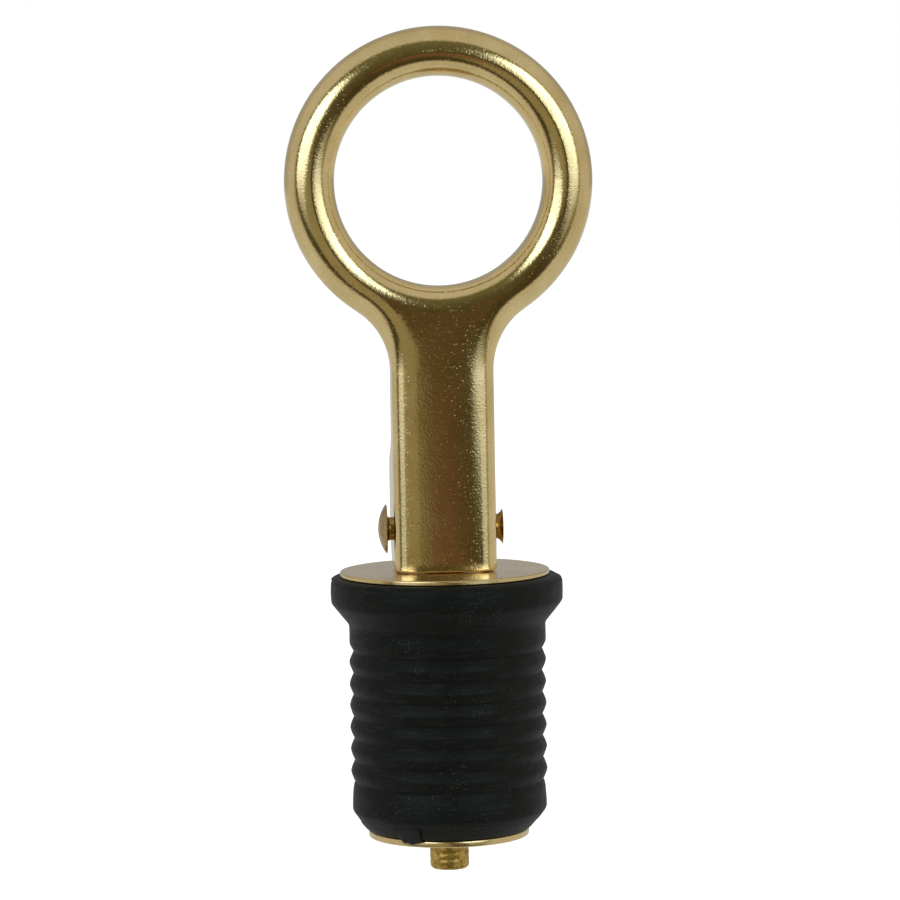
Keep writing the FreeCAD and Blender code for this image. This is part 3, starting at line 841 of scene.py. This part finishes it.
# %% [markdown]
# The end of a real thread has a small chamfer. A bevel would follow every facet of the thread, so the
# lowest points are drawn in towards the axis instead. Then the shank is copied, cut and joined to the
# thread.

# %% Join the shank and the thread
CHAMFER = 0.3
for vertex in thread.data.vertices:
    above = vertex.co.z / MM - BOLT_END
    out = math.hypot(vertex.co.x, vertex.co.y) / MM
    allowed = CREST - max(0.0, CHAMFER - above)
    if out > allowed:
        vertex.co.x *= allowed / out
        vertex.co.y *= allowed / out

nothing_selected()
shank = bpy.data.objects.new("shank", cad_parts["eye_bolt"].data.copy())
bpy.context.scene.collection.objects.link(shank)
shank.select_set(True)
bpy.context.view_layer.objects.active = shank
bpy.ops.object.mode_set(mode="EDIT")
bpy.ops.mesh.select_all(action="SELECT")
bpy.ops.mesh.remove_doubles(threshold=0.001 * MM)
bpy.ops.object.mode_set(mode="OBJECT")
cut_level(shank, THREAD_TOP, True, True)
nothing_selected()
thread.select_set(True)
shank.select_set(True)
bpy.context.view_layer.objects.active = shank
bpy.ops.object.join()
bolt = bpy.context.object
bolt.name = "threaded_eye_bolt"
bolt.data.materials.clear()
bpy.ops.object.shade_smooth_by_angle(angle=math.radians(35))
print(bolt.name, len(bolt.data.polygons), "faces")

# %% [markdown]
# The bolt is of the same brass, but cut, not tumbled, and much handled: rougher, with a deeper grain, and
# with small brown spots where the lacquer is gone. So the function for brass is used again, with other
# sizes and tones.

# %% Bolt finish
bolt_finish = brass(
    "cut_brass_with_brown_spots", "#E0BE68", "#7E5A22",
    rough=0.36, grain_mm=0.22, grain_height_mm=0.016, pit_height_mm=0.012, cloud_mm=0.9,
)
bolt.data.materials.append(bolt_finish)
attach(bolt, "bolt")
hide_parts("eye_bolt")
print("bolt:", bolt_finish.name)

# %% [markdown]
# Polished metal shows the room more than itself. The photograph's room is a pale tent round the plug,
# with a dark opening in front. All of it is far away, because the ring and the stem mirror it in the same
# directions. Area lamps would do for near lights. Here it is painted on the world by direction, so the
# first nodes turn a direction into two angles: how far round from the front, and how far up.

# %% Directions in the room
world = bpy.data.worlds.new("studio")
bpy.context.scene.world = world
world.use_nodes = True
tree = world.node_tree
tree.nodes.clear()
direction = add(tree, "TexCoord").outputs["Generated"]
parts = add(tree, "SeparateXYZ", {"Vector": direction})
to_front = add(tree, "Math", {0: parts.outputs["Y"], 1: -1.0}, operation="MULTIPLY")
turn = add(tree, "Math", {0: parts.outputs["X"], 1: to_front.outputs["Value"]}, operation="ARCTAN2")
rise = add(tree, "Math", {0: parts.outputs["Z"]}, operation="ARCSINE")
turn_degrees = add(tree, "Math", {0: turn.outputs["Value"]}, operation="DEGREES")
rise_degrees = add(tree, "Math", {0: rise.outputs["Value"]}, operation="DEGREES")
print("world has", len(tree.nodes), "nodes that measure a direction")

# %% [markdown]
# What stands in the room is laid on as soft ovals, each over what is below it. An oval is a circle after
# its width and height are both brought to one, so one length tells how far out a direction lies, and a
# map range blurs the edge.

# %% Soft ovals
def oval(middle, half):
    """Distance from the middle of an oval in the sky, as a share of its half width and half height."""
    across = add(tree, "MapRange", {
        "Value": turn_degrees.outputs["Value"],
        1: middle[0] - half[0],
        2: middle[0] + half[0],
        3: -1.0,
        4: 1.0,
    }, clamp=False)
    up = add(tree, "MapRange", {
        "Value": rise_degrees.outputs["Value"],
        1: middle[1] - half[1],
        2: middle[1] + half[1],
        3: -1.0,
        4: 1.0,
    }, clamp=False)
    both = add(tree, "CombineXYZ", {"X": across.outputs["Result"], "Y": up.outputs["Result"]})
    return add(tree, "VectorMath", {0: both.outputs["Vector"]}, operation="LENGTH").outputs["Value"]


def patch(below, colour, middle, half, edge):
    """Lay an oval patch of colour over what is below it, with a soft edge."""
    cover = add(tree, "MapRange", {"Value": oval(middle, half), 1: 1 - edge, 2: 1 + edge, 3: 1.0, 4: 0.0})
    return add(tree, "Mix", {0: cover.outputs["Result"], 6: below, 7: colour}, data_type="RGBA").outputs[2]


print("an oval 20 degrees wide and 10 high covers", round(math.pi * 10 * 5), "square degrees")

# %% [markdown]
# The colours are light levels, in linear light. The tent is duller behind the plug. The opening is brown
# below and olive above. In it stand two soft boxes, white at their tops and fading downwards, each with a
# dim greenish rim. Under them lie a dark floor, a table top on the left and something warm brown.

# %% The room round the plug
BACK = (0.33, 0.335, 0.34, 1)
TENT = (0.575, 0.570, 0.545, 1)
ROOM_LOW = (0.066, 0.056, 0.024, 1)
ROOM_HIGH = (0.155, 0.152, 0.083, 1)
TABLE = (0.305, 0.285, 0.180, 1)
WARM = (0.165, 0.088, 0.062, 1)
RIM = (0.31, 0.33, 0.17, 1)
BOX_LOW = (0.31, 0.30, 0.28, 1)
BOX_HIGH = (2.50, 2.90, 3.40, 1)
rearward = add(tree, "MapRange", {"Value": parts.outputs["Y"], 1: 0.3, 2: 0.92, 3: 0.0, 4: 1.0})
tent = add(tree, "Mix", {0: rearward.outputs["Result"], 6: TENT, 7: BACK}, data_type="RGBA").outputs[2]
upward = add(tree, "MapRange", {"Value": rise_degrees.outputs["Value"], 1: -5.0, 2: 40.0, 3: 0.0, 4: 1.0})
opening = {0: upward.outputs["Result"], 6: ROOM_LOW, 7: ROOM_HIGH}
room = add(tree, "Mix", opening, data_type="RGBA").outputs[2]
filled = add(tree, "MapRange", {"Value": rise_degrees.outputs["Value"], 1: -14.0, 2: 20.0, 3: 0.0, 4: 1.0},
             interpolation_type="SMOOTHSTEP")
box = add(tree, "Mix", {0: filled.outputs["Result"], 6: BOX_LOW, 7: BOX_HIGH}, data_type="RGBA").outputs[2]
seen = patch(tent, room, (-8.5, 5.0), (65.0, 46.0), 0.09)
seen = patch(seen, RIM, (-39.0, 9.0), (27.0, 24.5), 0.08)
seen = patch(seen, RIM, (34.5, 9.0), (23.5, 24.5), 0.06)
seen = patch(seen, box, (-40.0, 8.5), (23.5, 23.0), 0.1)
seen = patch(seen, box, (31.5, 9.0), (19.5, 22.0), 0.1)
seen = patch(seen, ROOM_LOW, (8.0, -15.0), (18.0, 14.0), 0.15)
seen = patch(seen, TABLE, (-16.5, -13.0), (17.0, 16.0), 0.06)
seen = patch(seen, WARM, (3.3, -10.5), (5.0, 7.2), 0.2)
print("world has", len(tree.nodes), "nodes with the room")

# %% [markdown]
# The camera itself sees plain white paper. Metal sees that white too, but only behind the plug, and only
# a small share of it, mixed into the tent. Everything else is lit by the room.

# %% White paper behind the plug
light_path = add(tree, "LightPath")
paper = add(tree, "Background", {"Color": (1, 1, 1, 1), "Strength": 1.0})
studio = add(tree, "Background", {"Color": seen, "Strength": 1.0})
behind = add(tree, "MapRange", {"Value": parts.outputs["Y"], 1: 0.6, 2: 0.95, 3: 0.0, 4: 0.12})
rays = {0: light_path.outputs["Is Glossy Ray"], 1: light_path.outputs["Is Transmission Ray"]}
mirrored = add(tree, "Math", rays, operation="ADD", use_clamp=True)
shares = {0: mirrored.outputs["Value"], 1: behind.outputs["Result"]}
mirrored_share = add(tree, "Math", shares, operation="MULTIPLY")
seers = {0: light_path.outputs["Is Camera Ray"], 1: mirrored_share.outputs["Value"]}
white = add(tree, "Math", seers, operation="ADD", use_clamp=True)
either = add(tree, "MixShader", {0: white.outputs["Value"], 1: studio.outputs[0], 2: paper.outputs[0]})
add(tree, "OutputWorld", {"Surface": either.outputs[0]})
print("world has", len(tree.nodes), "nodes in all")

# %% [markdown]
# The plug is held by its seat in a tube and can't stand by itself, so the pale floor lies 6 cm below it,
# from just in front of it to far behind. It is plain diffuse white, with enough glow of its own, for the
# camera and for mirrors, to read as white paper, while the light that the plug takes away still shows as
# a soft shadow.

# %% Floor
FLOOR_SIDE = 4.0
FLOOR_MIDDLE = (0, 1.93, -0.09)
CAMERA_GLOW = 0.65
MIRROR_GLOW = 0.08

nothing_selected()
bpy.ops.mesh.primitive_plane_add(size=FLOOR_SIDE, location=FLOOR_MIDDLE)
floor = bpy.context.object
floor.name = "floor"
floor_finish, tree, output = new_finish("white_paper")
light_path = add(tree, "LightPath")
rays = {0: light_path.outputs["Is Glossy Ray"], 1: light_path.outputs["Is Transmission Ray"]}
mirrored = add(tree, "Math", rays, operation="ADD", use_clamp=True)
mirrored_glow = add(tree, "Math", {0: mirrored.outputs["Value"], 1: MIRROR_GLOW}, operation="MULTIPLY")
to_camera = {0: light_path.outputs["Is Camera Ray"], 1: CAMERA_GLOW}
camera_glow = add(tree, "Math", to_camera, operation="MULTIPLY")
glows = {0: camera_glow.outputs["Value"], 1: mirrored_glow.outputs["Value"]}
glow = add(tree, "Math", glows, operation="ADD")
matte = add(tree, "BsdfDiffuse", {"Color": linear("#F4F4F2")})
shine = add(tree, "Emission", {"Color": (1, 1, 1, 1), "Strength": glow.outputs["Value"]})
sheet = add(tree, "AddShader", {0: matte.outputs[0], 1: shine.outputs[0]})
tree.links.new(sheet.outputs[0], output.inputs["Surface"])
floor.data.materials.append(floor_finish)
print("floor", [round(v, 2) for v in floor.dimensions])

# %% [markdown]
# Colours are shown as they are written, so the view is plain Standard.

# %% Finish
bpy.context.scene.view_settings.view_transform = "Standard"
